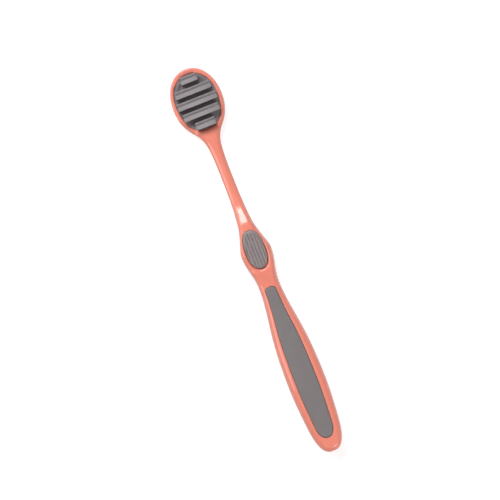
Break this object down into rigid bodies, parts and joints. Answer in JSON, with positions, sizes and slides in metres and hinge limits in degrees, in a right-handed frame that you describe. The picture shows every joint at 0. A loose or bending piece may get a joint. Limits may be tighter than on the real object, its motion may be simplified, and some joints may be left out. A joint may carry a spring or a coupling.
{
  "type": "tongue cleaner",
  "caption": "Hand tongue cleaner with an oval head of soft scraper bars, a slim neck, a ribbed thumb rest and a soft-gripped handle.",
  "frame": {"origin": "on the surface that the cleaner lies on, under the middle of its length and width", "axes": "+Y along the body towards the head's tip, +Z out of the scraping face, X across"},
  "size_m": [0.0228, 0.18, 0.0104],
  "materials": {
    "coral_plastic": "glossy moulded coral plastic",
    "pad_elastomer": "satin grey soft elastomer",
    "thumb_elastomer": "matte grey soft elastomer, ribbed",
    "grip_elastomer": "matte grey soft elastomer, smooth"
  },
  "bodies": {
    "root": {"handle_body": "coral_plastic", "scraper_pad": "pad_elastomer", "thumb_pad": "thumb_elastomer", "handle_grip": "grip_elastomer"}
  },
  "joints": []
}
